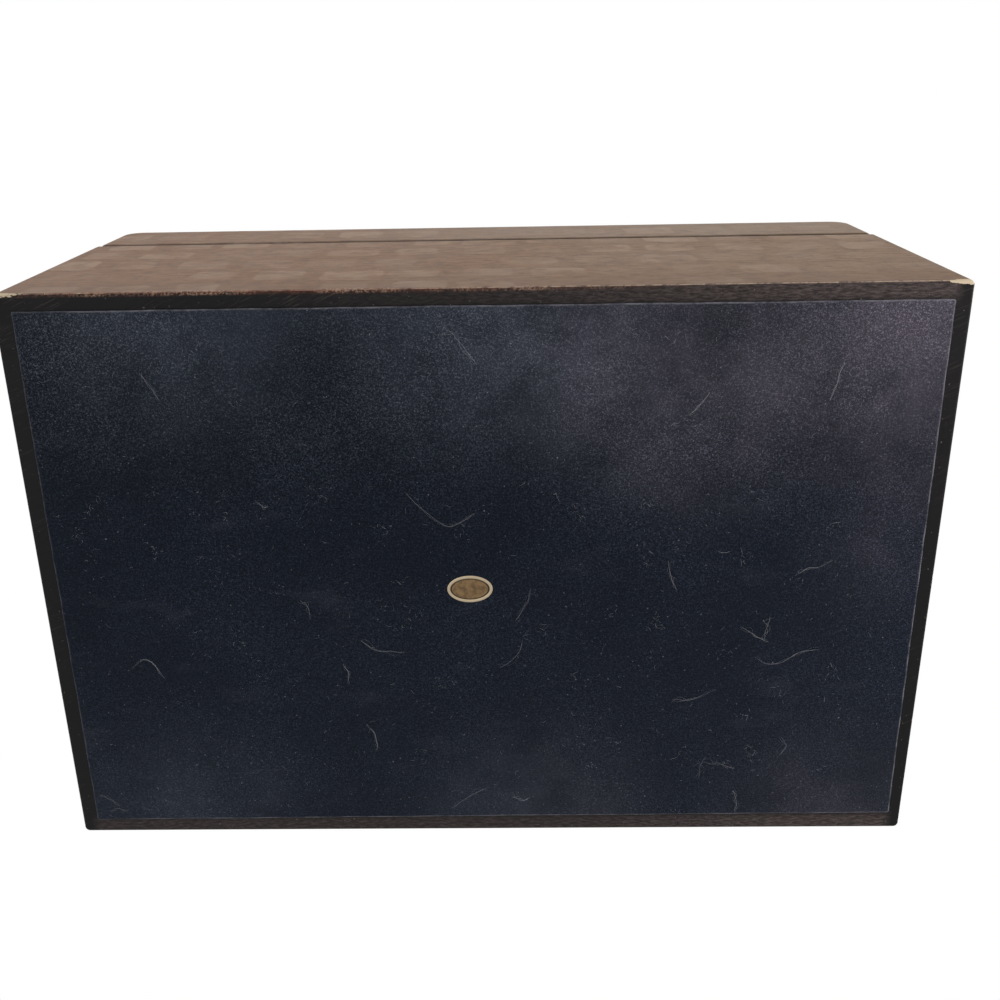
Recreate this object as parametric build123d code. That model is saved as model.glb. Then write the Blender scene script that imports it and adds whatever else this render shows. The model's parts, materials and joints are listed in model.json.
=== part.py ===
from build123d import *
import os

# Lacquered jewelry box: a lined case with two drawers below and a hinged lid with a mirror.
# Millimetres. The origin is the middle of the underside and +Z is up. The drawers face -Y and the
# lid turns about hinges along +Y. Every piece is written to parts/NAME.step as a solid of its own.

# Outer sizes
WIDTH = 305.0
DEPTH = 203.0
BODY_HEIGHT = 102.0  # underside to the middle of the lid seam
LID_HEIGHT = 38.0  # middle of the seam to the top of the lid
SEAM_GAP = 0.6
WALL = 9.0
CORNER_RADIUS = 1.8  # upright corners of the case
LID_CORNER_RADIUS = 3.0  # upright corners and long top edges of the lid
END_CROWN_RADIUS = 9.0  # top edges at the left and right ends of the lid
SEAM_RADIUS = 2.6  # edges above and below the seam
FOOT_RADIUS = 0.8  # edges round the underside

# Underside
FELT_THICKNESS = 1.0
FELT_MARGIN = 6.1  # bare black wood left round the felt
FELT_CORNER = 2.0
LABEL_LENGTH = 15.5
LABEL_WIDTH = 10.0
LABEL_THICKNESS = 0.25
LABEL_X = 4.8
LABEL_Y = -1.3

# Case
BASE_THICKNESS = 5.0
RAIL_HEIGHT = 8.0  # strip of the front under the drawers
OPENING_HEIGHT = 44.0  # drawer opening
PARTITION = 8.0  # upright board between the drawers
SHELF_THICKNESS = 4.0
RUNNER_WIDTH = 8.0
STOP_DEPTH = 13.0  # block behind each drawer
STOP_WIDTH = 20.0
STOP_RISE = 18.0  # top of the block above the runners

# Drawers
REVEAL = 0.6  # gap shown round a drawer front
FRONT_EDGE_RADIUS = 0.8
RUNNING_GAP = 0.3  # drawer to its runners and its stop
SIDE_PLAY = 1.0  # drawer box beside its bay
HEADROOM = 6.0  # bay above the drawer box
DRAWER_SIDE = 5.0
DRAWER_FLOOR = 3.0
DRAWER_FLOOR_LIFT = 1.0  # floor above the lower edges of the sides
DRAWER_SKIN = 0.8
DRAWER_DIVIDER = 3.0
DRAWER_DIVIDER_DROP = 8.0  # divider below the top edges of the sides

# Ring pulls
PLATE_RADIUS = 8.5
PLATE_THICKNESS = 1.2
PLATE_DOME = 0.5
PULL_RISE = 5.0  # eye above the middle of the drawer front, so that the ring hangs centred
EYE_RADIUS = 2.6
EYE_HOLE = 1.5
EYE_THICKNESS = 2.4
EYE_STANDOFF = 2.2  # middle of the eye to the plate
RING_RADIUS = 9.0
RING_WIRE = 1.1
SHANK_RADIUS = 1.2
SHANK_CLEARANCE = 0.05
CLENCH_LENGTH = 9.0  # bent-over legs of the eye behind the drawer front
CLENCH_THICKNESS = 1.0
CLENCH_WIDTH = 1.8
CLENCH_POCKET = 1.4  # depth of the pocket that the legs lie in

# Hinges
HINGE_INSET = 52.0  # end of a hinge to the end of the box
HINGE_LENGTH = 30.0
KNUCKLE_RADIUS = 1.5
KNUCKLES = 5
KNUCKLE_PLAY = 0.2
KNUCKLE_CLEARANCE = 0.3
PIN_RADIUS = 0.7
PIN_CLEARANCE = 0.05
LEAF_THICKNESS = 0.9
LEAF_GAP = 0.3  # between the closed leaves
LEAF_MARGIN = 0.7  # wood left between a leaf and the inside of the wall
MORTISE_PLAY = 0.2
SCREWS_PER_LEAF = 3
SCREW_MARGIN = 5.0  # outer screws to the ends of the leaf
SCREW_HEAD_RADIUS = 1.5
SCREW_HEAD_HEIGHT = 0.7
SCREW_RADIUS = 0.8
SCREW_LENGTH = 7.0
SCREW_CLEARANCE = 0.05

# Inside the case
LINING = 1.0
LINING_SETBACK = 1.0  # lining's edge below the rim, and above it in the lid
FLOOR_PAD = 3.0
DIVIDER = 3.0
DIVIDER_DROP = 12.0  # tops of the dividers below the rim
BACK_ROW_DEPTH = 66.0
BACK_CELLS = 3
ROLL_BED_LENGTH = 140.0
ROLL_BED_HEIGHT = 9.0
ROLL_COUNT = 6
ROLL_GAP = 0.5
ROLL_STRAIGHT = 8.0  # upright part of a roll's sides, under its round top
BUMPER_RADIUS = 2.5
BUMPER_THICKNESS = 0.5
BUMPER_INSET = 32.0  # bumper to the end of the box

# Inside the lid
LID_TOP = 8.0
LID_PAD = 3.0
MIRROR_BORDER = 31.0  # lining shown round the mirror, which is as thick as the pad
MIRROR_PLAY = 0.3
BEZEL_WIDTH = 6.0
BEZEL_LAP = 2.0  # bezel over the edge of the mirror
BEZEL_THICKNESS = 1.2

# Faces and levels that several pieces share
HALF_X = WIDTH / 2
HALF_Y = DEPTH / 2
INNER_X = HALF_X - WALL
INNER_Y = HALF_Y - WALL
FOOT = FELT_THICKNESS
RIM = BODY_HEIGHT - SEAM_GAP / 2
LID_RIM = BODY_HEIGHT + SEAM_GAP / 2
TOP = BODY_HEIGHT + LID_HEIGHT
CEILING = TOP - LID_TOP
BASE_TOP = FOOT + BASE_THICKNESS
OPENING_LOW = FOOT + RAIL_HEIGHT
SHELF_LOW = OPENING_LOW + OPENING_HEIGHT
SHELF_TOP = SHELF_LOW + SHELF_THICKNESS
WELL_X = INNER_X - LINING
WELL_Y = INNER_Y - LINING
WELL_FLOOR = SHELF_TOP + FLOOR_PAD
DIVIDER_TOP = RIM - DIVIDER_DROP
BACK_ROW_FRONT = WELL_Y - BACK_ROW_DEPTH
ROLL_END = -WELL_X + ROLL_BED_LENGTH
PIN_Y = HALF_Y - KNUCKLE_RADIUS
PIN_Z = BODY_HEIGHT
HINGE_X = HALF_X - HINGE_INSET - HINGE_LENGTH / 2
LEAF_EDGE = INNER_Y + LEAF_MARGIN
SIDES = (-1, 1)  # left and right, front and back, or down and up


def block(x_low, x_high, y_low, y_high, z_low, z_high):
    """A box given by its lowest and highest faces."""
    middle = Pos((x_low + x_high) / 2, (y_low + y_high) / 2, (z_low + z_high) / 2)
    return middle * Box(abs(x_high - x_low), abs(y_high - y_low), abs(z_high - z_low))


def board(half_x, half_y, z_low, z_high):
    """A level box centred on the Z axis."""
    return block(-half_x, half_x, -half_y, half_y, z_low, z_high)


def skin(half_x, half_y, z_low, z_high, thickness):
    """A lining round four walls, open above and below."""
    hollow = board(half_x - thickness, half_y - thickness, z_low, z_high)
    return board(half_x, half_y, z_low, z_high) - hollow


def x_rod(x_low, x_high, y, z, radius):
    """A cylinder along X."""
    return Pos((x_low + x_high) / 2, y, z) * Rot(0, 90, 0) * Cylinder(radius, x_high - x_low)


def y_rod(x, y_low, y_high, z, radius):
    """A cylinder along Y."""
    return Pos(x, (y_low + y_high) / 2, z) * Rot(90, 0, 0) * Cylinder(radius, y_high - y_low)


def group(pieces):
    """Separate solids that share one node."""
    return Compound(children=list(pieces))


def cut(piece, tools):
    """The piece less every tool."""
    for tool in tools:
        piece -= tool
    return piece


def case_form():
    """The outer form of the case, rounded at its corners, its foot and its rim."""
    form = board(HALF_X, HALF_Y, FOOT, RIM)
    form = fillet(form.edges().filter_by(Axis.Z), CORNER_RADIUS)
    form = fillet(form.faces().sort_by(Axis.Z)[-1].edges(), SEAM_RADIUS)
    return fillet(form.faces().sort_by(Axis.Z)[0].edges(), FOOT_RADIUS)


def lid_form():
    """The outer form of the lid: round ends on top, and soft edges round its front and back."""
    form = board(HALF_X, HALF_Y, LID_RIM, TOP)
    form = fillet(form.faces().sort_by(Axis.Z)[-1].edges().filter_by(Axis.Y), END_CROWN_RADIUS)
    outlines = [edge for face in form.faces().filter_by(Axis.Y) for edge in face.edges()]
    form = fillet([edge for edge in outlines if edge.center().Z > LID_RIM], LID_CORNER_RADIUS)
    return fillet(form.faces().sort_by(Axis.Z)[0].edges(), SEAM_RADIUS)


def end_board(form, side, z_low, z_high):
    """The left or right board of a frame, over the whole depth."""
    return form & block(side * INNER_X, side * HALF_X, -HALF_Y, HALF_Y, z_low, z_high)


def long_board(form, side, z_low, z_high):
    """The front or back board of a frame, between the end boards."""
    return form & block(-INNER_X, INNER_X, side * INNER_Y, side * HALF_Y, z_low, z_high)


# Hinges


def screw_spots(side):
    """Where the screws of one leaf stand, as x and y."""
    reach = HINGE_LENGTH / 2 - SCREW_MARGIN
    pitch = 2 * reach / (SCREWS_PER_LEAF - 1)
    y = (LEAF_EDGE + PIN_Y - KNUCKLE_RADIUS) / 2
    return [(side * HINGE_X - reach + n * pitch, y) for n in range(SCREWS_PER_LEAF)]


def screw(x, y, way, clearance=0.0):
    """A countersunk screw, flush with a leaf's face, that points down (-1) or up (1)."""
    head = Cone(SCREW_RADIUS + clearance, SCREW_HEAD_RADIUS + clearance, SCREW_HEAD_HEIGHT)
    length = SCREW_LENGTH + clearance
    upright = Pos(0, 0, -SCREW_HEAD_HEIGHT / 2) * head
    upright += Pos(0, 0, -length / 2) * Cylinder(SCREW_RADIUS + clearance, length)
    turned = upright if way < 0 else Rot(180, 0, 0) * upright
    return Pos(x, y, PIN_Z + way * LEAF_GAP / 2) * turned


def hinge_cuts(way):
    """What both hinges take out of the board below (-1) or above (1) the seam."""
    reach = HINGE_LENGTH / 2 + MORTISE_PLAY
    depth = LEAF_GAP / 2 + LEAF_THICKNESS
    cuts = []
    for side in SIDES:
        low, high = side * HINGE_X - reach, side * HINGE_X + reach
        cuts.append(block(low, high, LEAF_EDGE - MORTISE_PLAY, PIN_Y, PIN_Z, PIN_Z + way * depth))
        cuts.append(x_rod(low, high, PIN_Y, PIN_Z, KNUCKLE_RADIUS + KNUCKLE_CLEARANCE))
        cuts += [screw(x, y, way, SCREW_CLEARANCE) for x, y in screw_spots(side)]
    return cuts


def hinge_leaf(side, way):
    """A leaf with its knuckles: the lower leaf has the first, the upper leaf starts at the second."""
    start = side * HINGE_X - HINGE_LENGTH / 2
    end = start + HINGE_LENGTH
    pitch = HINGE_LENGTH / KNUCKLES
    near = PIN_Z + way * LEAF_GAP / 2
    leaf = block(start, end, LEAF_EDGE, PIN_Y, near, near + way * LEAF_THICKNESS)
    own = 0 if way < 0 else 1
    play = KNUCKLE_PLAY / 2
    for n in range(KNUCKLES):
        low, high = start + n * pitch, start + (n + 1) * pitch
        if n % 2 == own:
            leaf += x_rod(low + play, high - play, PIN_Y, PIN_Z, KNUCKLE_RADIUS)
        else:
            leaf -= x_rod(low - play, high + play, PIN_Y, PIN_Z, KNUCKLE_RADIUS + KNUCKLE_PLAY)
    leaf -= x_rod(start, end, PIN_Y, PIN_Z, PIN_RADIUS + PIN_CLEARANCE)
    return cut(leaf, [screw(x, y, way, SCREW_CLEARANCE) for x, y in screw_spots(side)])


def hinges():
    """Two butt hinges, let into the rims at the back."""
    pieces = {}
    half = HINGE_LENGTH / 2
    for name, side in zip(("left", "right"), SIDES):
        middle = side * HINGE_X
        pieces[f"hinge_{name}_lower"] = hinge_leaf(side, -1)
        pieces[f"hinge_{name}_upper"] = hinge_leaf(side, 1)
        pieces[f"hinge_{name}_pin"] = x_rod(middle - half, middle + half, PIN_Y, PIN_Z, PIN_RADIUS)
    for name, way in zip(("lower", "upper"), SIDES):
        spots = screw_spots(-1) + screw_spots(1)
        pieces[f"hinge_screws_{name}"] = group(screw(x, y, way) for x, y in spots)
    return pieces


# Case


def case_boards():
    """The boards that the lacquered case is glued up from."""
    form = case_form()
    half = PARTITION / 2
    partition = block(-half, half, -INNER_Y, INNER_Y, BASE_TOP, SHELF_LOW)
    partition += block(-half, half, -HALF_Y, -INNER_Y, OPENING_LOW, SHELF_LOW)
    return {
        "back_wall": cut(long_board(form, 1, FOOT, RIM), hinge_cuts(-1)),
        "left_wall": end_board(form, -1, FOOT, RIM),
        "right_wall": end_board(form, 1, FOOT, RIM),
        "front_panel": long_board(form, -1, SHELF_LOW, RIM),
        "front_rail": long_board(form, -1, FOOT, OPENING_LOW),
        "bay_partition": partition,
        "base_panel": board(INNER_X, INNER_Y, FOOT, BASE_TOP),
        "shelf_panel": board(INNER_X, INNER_Y, SHELF_LOW, SHELF_TOP),
    }


def underside():
    """The felt glued under the case, and the oval foil label pressed into it."""
    felt = board(HALF_X - FELT_MARGIN, HALF_Y - FELT_MARGIN, 0, FELT_THICKNESS)
    felt = fillet(felt.edges().filter_by(Axis.Z), FELT_CORNER)
    oval = Ellipse(LABEL_LENGTH / 2, LABEL_WIDTH / 2)
    label = Pos(LABEL_X, LABEL_Y, 0) * extrude(oval, LABEL_THICKNESS)
    return {"base_felt": felt - label, "base_label": label}


def bay_span(side):
    """The lower and the higher face of one drawer bay along X."""
    return sorted((side * PARTITION / 2, side * INNER_X))


def bay_fittings():
    """Runners under the drawers, and the blocks that stop them flush with the front."""
    runners, stops = [], []
    half = STOP_WIDTH / 2
    for side in SIDES:
        low, high = bay_span(side)
        middle = (low + high) / 2
        for start in (low, high - RUNNER_WIDTH):
            end = start + RUNNER_WIDTH
            runners.append(block(start, end, -INNER_Y, INNER_Y, BASE_TOP, OPENING_LOW))
        top = OPENING_LOW + STOP_RISE
        stops.append(block(middle - half, middle + half, INNER_Y - STOP_DEPTH, INNER_Y, BASE_TOP, top))
    return {"drawer_runners": group(runners), "drawer_stops": group(stops)}


def roll_bed():
    """A raised bed with padded bars that grip rings between them."""
    front = -WELL_Y
    back = BACK_ROW_FRONT - DIVIDER
    top = WELL_FLOOR + ROLL_BED_HEIGHT
    bed = block(-WELL_X, ROLL_END, front, back, WELL_FLOOR, top)
    pitch = (back - front) / ROLL_COUNT
    radius = (pitch - ROLL_GAP) / 2
    rolls = []
    for n in range(ROLL_COUNT):
        y = front + (n + 0.5) * pitch
        bar = block(-WELL_X, ROLL_END, y - radius, y + radius, top, top + ROLL_STRAIGHT)
        rolls.append(bar + x_rod(-WELL_X, ROLL_END, y, top + ROLL_STRAIGHT, radius))
        rolls[-1] &= block(-WELL_X, ROLL_END, front, back, top, RIM)
    return {"roll_bed": bed, "ring_rolls": group(rolls)}


def well_pieces():
    """The lined well above the drawers, with its dividers, and the bumpers on the front rim."""
    back = BACK_ROW_FRONT - DIVIDER
    pitch = (2 * WELL_X + DIVIDER) / BACK_CELLS
    cross = []
    for n in range(1, BACK_CELLS):
        start = -WELL_X + n * pitch - DIVIDER
        end = start + DIVIDER
        cross.append(block(start, end, BACK_ROW_FRONT, WELL_Y, WELL_FLOOR, DIVIDER_TOP))
    bumper_y = -(INNER_Y + HALF_Y - SEAM_RADIUS) / 2
    bumpers = [
        Pos(side * (HALF_X - BUMPER_INSET), bumper_y, RIM + BUMPER_THICKNESS / 2)
        * Cylinder(BUMPER_RADIUS, BUMPER_THICKNESS)
        for side in SIDES
    ]
    return {
        "well_floor_pad": board(INNER_X, INNER_Y, SHELF_TOP, WELL_FLOOR),
        "well_lining": skin(INNER_X, INNER_Y, WELL_FLOOR, RIM - LINING_SETBACK, LINING),
        "long_divider": block(-WELL_X, WELL_X, back, BACK_ROW_FRONT, WELL_FLOOR, DIVIDER_TOP),
        "front_divider": block(ROLL_END, ROLL_END + DIVIDER, -WELL_Y, back, WELL_FLOOR, DIVIDER_TOP),
        "back_dividers": group(cross),
        "lid_bumpers": group(bumpers),
    }


# Drawers


def pull_place(side):
    """The middle of the eye that a ring hangs in."""
    low, high = bay_span(side)
    front_middle = OPENING_LOW + OPENING_HEIGHT / 2
    return (low + high) / 2, -HALF_Y - PLATE_THICKNESS - EYE_STANDOFF, front_middle + PULL_RISE


def clench(x, z, thickness, play):
    """The bent-over legs of an eye, on the floor of the pocket behind the drawer front."""
    reach = CLENCH_LENGTH / 2 + play
    half = CLENCH_WIDTH / 2 + play
    floor = -INNER_Y - CLENCH_POCKET
    return block(x - reach, x + reach, floor, floor + thickness, z - half, z + half)


def ring_pull(name, side):
    """The round plate, the eye with its shank, and the ring of one drawer."""
    x, y, z = pull_place(side)
    face = -HALF_Y - PLATE_THICKNESS
    plate = y_rod(x, face, -HALF_Y, z, PLATE_RADIUS)
    plate = chamfer(plate.faces().sort_by(Axis.Y)[0].edges(), PLATE_DOME)
    plate -= y_rod(x, face, -HALF_Y, z, SHANK_RADIUS + SHANK_CLEARANCE)
    half = EYE_THICKNESS / 2
    eye = x_rod(x - half, x + half, y, z, EYE_RADIUS)
    eye -= x_rod(x - half, x + half, y, z, EYE_HOLE)
    eye &= block(x - half, x + half, y - EYE_RADIUS, face, z - EYE_RADIUS, z + EYE_RADIUS)
    eye += y_rod(x, face, -INNER_Y - CLENCH_POCKET, z, SHANK_RADIUS)
    eye += clench(x, z, CLENCH_THICKNESS, 0)
    ring = Pos(x, y, z - RING_RADIUS) * Rot(90, 0, 0) * Torus(RING_RADIUS, RING_WIRE)
    return {f"{name}_plate": plate, f"{name}_eye": eye, f"{name}_ring": ring}


def drawer_front(side):
    """The lacquered front, bored for the pull."""
    low, high = bay_span(side)
    x, y, z = pull_place(side)
    bottom, top = OPENING_LOW + REVEAL, SHELF_LOW - REVEAL
    front = block(low + REVEAL, high - REVEAL, -HALF_Y, -INNER_Y, bottom, top)
    front = fillet(front.faces().sort_by(Axis.Y)[0].edges(), FRONT_EDGE_RADIUS)
    front -= y_rod(x, -HALF_Y, -INNER_Y, z, SHANK_RADIUS + SHANK_CLEARANCE)
    return front - clench(x, z, CLENCH_POCKET, SHANK_CLEARANCE)


def drawer(name, side):
    """One drawer: its front, box, lining and divider, with its ring pull."""
    low, high = bay_span(side)
    low, high = low + SIDE_PLAY, high - SIDE_PLAY
    in_low, in_high = low + DRAWER_SIDE, high - DRAWER_SIDE
    front, rear = -INNER_Y, INNER_Y - STOP_DEPTH - RUNNING_GAP
    in_rear = rear - DRAWER_SIDE
    bottom, top = OPENING_LOW + RUNNING_GAP, SHELF_LOW - HEADROOM
    bed = bottom + DRAWER_FLOOR_LIFT
    floor = bed + DRAWER_FLOOR
    starts = (low, in_high)
    sides = [block(start, start + DRAWER_SIDE, front, rear, bottom, top) for start in starts]
    lining = block(in_low, in_high, front, in_rear, floor, top - DRAWER_SKIN)
    lined = floor + DRAWER_SKIN
    left, right = in_low + DRAWER_SKIN, in_high - DRAWER_SKIN
    lining -= block(left, right, front + DRAWER_SKIN, in_rear - DRAWER_SKIN, lined, top)
    middle = (front + in_rear) / 2
    near, far = middle - DRAWER_DIVIDER / 2, middle + DRAWER_DIVIDER / 2
    pieces = {
        f"drawer_{name}_front": drawer_front(side),
        f"drawer_{name}_sides": group(sides),
        f"drawer_{name}_back": block(in_low, in_high, in_rear, rear, bottom, top),
        f"drawer_{name}_bottom": block(in_low, in_high, front, in_rear, bed, floor),
        f"drawer_{name}_lining": lining,
        f"drawer_{name}_divider": block(left, right, near, far, lined, top - DRAWER_DIVIDER_DROP),
    }
    return pieces | ring_pull(f"pull_{name}", side)


# Lid


def lid():
    """The lid: four rails under a top board, lined, with a mirror let into the pad."""
    form = lid_form()
    pad_low = CEILING - LID_PAD
    window_x, window_y = WELL_X - MIRROR_BORDER, WELL_Y - MIRROR_BORDER
    glass_x, glass_y = window_x - MIRROR_PLAY, window_y - MIRROR_PLAY
    sight_x, sight_y = glass_x - BEZEL_LAP, glass_y - BEZEL_LAP
    bezel_low = pad_low - BEZEL_THICKNESS
    bezel = skin(sight_x + BEZEL_WIDTH, sight_y + BEZEL_WIDTH, bezel_low, pad_low, BEZEL_WIDTH)
    pad = board(WELL_X, WELL_Y, pad_low, CEILING) - board(window_x, window_y, pad_low, CEILING)
    return {
        "lid_top_panel": form & board(HALF_X, HALF_Y, CEILING, TOP),
        "lid_front_rail": long_board(form, -1, LID_RIM, CEILING),
        "lid_back_rail": cut(long_board(form, 1, LID_RIM, CEILING), hinge_cuts(1)),
        "lid_left_rail": end_board(form, -1, LID_RIM, CEILING),
        "lid_right_rail": end_board(form, 1, LID_RIM, CEILING),
        "lid_lining": skin(INNER_X, INNER_Y, LID_RIM + LINING_SETBACK, CEILING, LINING),
        "lid_pad": pad,
        "lid_mirror": board(glass_x, glass_y, pad_low, CEILING),
        "mirror_bezel": bezel,
    }


def main():
    """Builds every piece and writes one file for each."""
    pieces = case_boards() | underside() | bay_fittings() | well_pieces() | roll_bed()
    for name, side in zip(("left", "right"), SIDES):
        pieces |= drawer(name, side)
    pieces |= lid() | hinges()
    os.makedirs("parts", exist_ok=True)
    for name, shape in pieces.items():
        export_step(shape, f"parts/{name}.step")
    print(len(pieces), "nodes written")


main()
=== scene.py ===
import bmesh
import bpy
import json
import math
import numpy as np
from mathutils import Matrix, Vector

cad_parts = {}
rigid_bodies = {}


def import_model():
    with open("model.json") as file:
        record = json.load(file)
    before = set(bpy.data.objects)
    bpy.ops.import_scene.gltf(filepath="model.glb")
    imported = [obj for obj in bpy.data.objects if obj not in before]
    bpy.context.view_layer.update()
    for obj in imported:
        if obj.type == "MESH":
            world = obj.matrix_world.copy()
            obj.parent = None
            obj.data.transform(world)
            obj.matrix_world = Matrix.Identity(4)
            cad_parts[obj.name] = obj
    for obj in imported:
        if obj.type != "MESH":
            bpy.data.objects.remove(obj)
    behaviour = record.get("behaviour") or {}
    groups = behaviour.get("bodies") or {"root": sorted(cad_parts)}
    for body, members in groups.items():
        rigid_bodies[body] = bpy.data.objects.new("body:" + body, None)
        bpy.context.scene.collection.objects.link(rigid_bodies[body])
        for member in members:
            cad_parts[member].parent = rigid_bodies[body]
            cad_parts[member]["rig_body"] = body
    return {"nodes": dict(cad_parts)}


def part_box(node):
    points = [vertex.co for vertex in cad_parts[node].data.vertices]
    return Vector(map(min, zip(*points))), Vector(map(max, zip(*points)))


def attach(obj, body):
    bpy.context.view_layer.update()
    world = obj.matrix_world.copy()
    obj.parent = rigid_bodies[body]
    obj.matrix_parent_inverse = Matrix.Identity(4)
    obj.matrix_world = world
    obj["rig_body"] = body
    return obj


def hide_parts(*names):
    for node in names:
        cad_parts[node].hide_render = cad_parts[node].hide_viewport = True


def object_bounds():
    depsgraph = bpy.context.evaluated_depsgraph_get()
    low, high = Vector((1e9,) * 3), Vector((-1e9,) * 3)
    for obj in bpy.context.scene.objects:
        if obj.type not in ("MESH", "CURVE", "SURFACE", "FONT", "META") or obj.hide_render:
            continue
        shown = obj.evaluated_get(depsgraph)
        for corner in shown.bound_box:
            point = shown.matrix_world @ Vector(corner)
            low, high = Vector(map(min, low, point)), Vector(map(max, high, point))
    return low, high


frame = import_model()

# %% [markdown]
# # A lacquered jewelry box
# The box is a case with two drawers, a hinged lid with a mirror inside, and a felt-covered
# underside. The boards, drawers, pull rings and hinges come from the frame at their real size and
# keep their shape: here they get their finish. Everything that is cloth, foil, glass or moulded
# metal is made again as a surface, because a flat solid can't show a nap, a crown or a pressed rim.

MM = 0.001
cad_low, cad_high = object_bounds()
rng = np.random.default_rng(7)
print("box of the frame in mm:", [round(v / MM, 1) for v in (*cad_low, *cad_high)])


def span(node):
    """Lowest and highest corner of a node, as two arrays in millimetres."""
    low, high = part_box(node)
    return np.array(low) / MM, np.array(high) / MM


def footprint(low, high):
    """Middle and half size in x and y of the box between two corners."""
    return ((low + high) / 2)[:2], (high - low)[:2] / 2


# %% [markdown]
# ## Surfaces from rows of rings
# Most soft and pressed pieces are a profile carried round a closed path. Blender could extrude a
# curve with a bevel object, but then corners pinch. Here the path and its outward normals are
# arrays, each row of the profile is an offset along the normals, a height and a scale, and a scale
# of nought gathers a row into the middle, which closes the piece.

# %% Paths, rows and pieces


def rounded_path(half_x, half_y, radius, per_corner, per_side):
    """Points and outward normals round a rectangle with round corners, anticlockwise from above.

    A corner point is its corner's centre plus radius times (cos a, sin a), for a over a quarter
    turn. Points along a side share the side's normal.
    """
    points, normals = [], []
    turn = np.linspace(0, math.pi / 2, per_corner + 1)
    signs = ((1, 1), (-1, 1), (-1, -1), (1, -1))
    for quarter, (sx, sy) in enumerate(signs):
        angle = turn + quarter * math.pi / 2
        normal = np.stack([np.cos(angle), np.sin(angle)], 1)
        centre = np.array([sx * (half_x - radius), sy * (half_y - radius)])
        points.append(centre + radius * normal)
        normals.append(normal)
        after = signs[(quarter + 1) % 4]
        target = np.array([after[0] * (half_x - radius), after[1] * (half_y - radius)])
        steps = np.linspace(0, 1, per_side + 1)[1:-1, None]
        end = normal[-1]
        points.append((centre + radius * end) * (1 - steps) + (target + radius * end) * steps)
        normals.append(np.repeat(end[None], len(steps), 0))
    return np.concatenate(points), np.concatenate(normals)


def oval_path(half_x, half_y, count=96):
    """Points (half_x cos a, half_y sin a) round an oval, and its outward unit normals."""
    angle = np.linspace(0, 2 * math.pi, count, endpoint=False)
    points = np.stack([half_x * np.cos(angle), half_y * np.sin(angle)], 1)
    normals = np.stack([np.cos(angle) / half_x, np.sin(angle) / half_y], 1)
    return points, normals / np.linalg.norm(normals, axis=1, keepdims=True)


def rings(path, rows):
    """A grid of points: row i is scale_i (path + offset_i normals) at height z_i."""
    points, normals = path
    offset, z, scale = (np.array(column, float)[:, None, None] for column in zip(*rows))
    flat = scale * (points[None] + offset * normals[None])
    return np.concatenate([flat, np.broadcast_to(z, flat.shape[:2] + (1,))], 2)


def inset_rings(half, radius, rows, per_corner=5, per_side=8):
    """Rings round a rectangle whose corners stay clean however far a row moves inwards.

    Row i is a rounded path of half sizes half + offset_i and radius max(radius + offset_i, 0.05).
    """
    made = []
    for offset, z, scale in rows:
        corner = max(radius + offset, 0.05)
        path = rounded_path(half[0] + offset, half[1] + offset, corner, per_corner, per_side)
        made.append(rings(path, [(0, z, scale)]))
    return np.concatenate(made)


def grid_quads(rows, columns, loop_rows):
    """Quads of a rows by columns grid: its columns close into a ring, its rows only if asked."""
    r, c = np.meshgrid(np.arange(rows - (not loop_rows)), np.arange(columns), indexing="ij")
    below, beside = (r + 1) % rows, (c + 1) % columns
    corners = [r * columns + c, r * columns + beside, below * columns + beside, below * columns + c]
    return np.stack(corners, -1).reshape(-1, 4)


def make_piece(name, grids, body, material, stands_for=(), loop_rows=False, sharp=35, tones=None):
    """One object from grids of points in millimetres, closed, facing outwards and riding on a body.

    tones, one number a point, goes into the attribute cut_edge, which a finish may read.
    """
    points, quads, start = [], [], 0
    for grid in grids:
        rows, columns = grid.shape[:2]
        points.append(grid.reshape(-1, 3))
        quads.append(grid_quads(rows, columns, loop_rows) + start)
        start += rows * columns
    mesh = bpy.data.meshes.new(name)
    mesh.from_pydata(np.concatenate(points) * MM, [], np.concatenate(quads).tolist())
    if tones is not None:
        layer = mesh.attributes.new("cut_edge", "FLOAT", "POINT")
        layer.data.foreach_set("value", tones.ravel())
    work = bmesh.new()
    work.from_mesh(mesh)
    bmesh.ops.remove_doubles(work, verts=work.verts, dist=1e-6)
    bmesh.ops.dissolve_degenerate(work, edges=work.edges, dist=1e-7)
    bmesh.ops.recalc_face_normals(work, faces=work.faces)
    work.to_mesh(mesh)
    work.free()
    mesh.shade_smooth()
    mesh.set_sharp_from_angle(angle=math.radians(sharp))
    mesh.materials.append(material)
    made = bpy.data.objects.new(name, mesh)
    bpy.context.scene.collection.objects.link(made)
    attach(made, body)
    if stands_for:
        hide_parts(*stands_for)
    print(name, len(mesh.polygons), "faces")
    return made


# %% [markdown]
# ## Building a finish from nodes
# A finish is a small network of nodes. Wiring it by hand is long, so a little helper adds a node,
# sets or links its inputs by name and hands back the output. What is the same all over a surface is
# set on the shader itself, and only what varies comes from nodes. The studio's world uses it too.

# %% A helper for node networks


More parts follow.
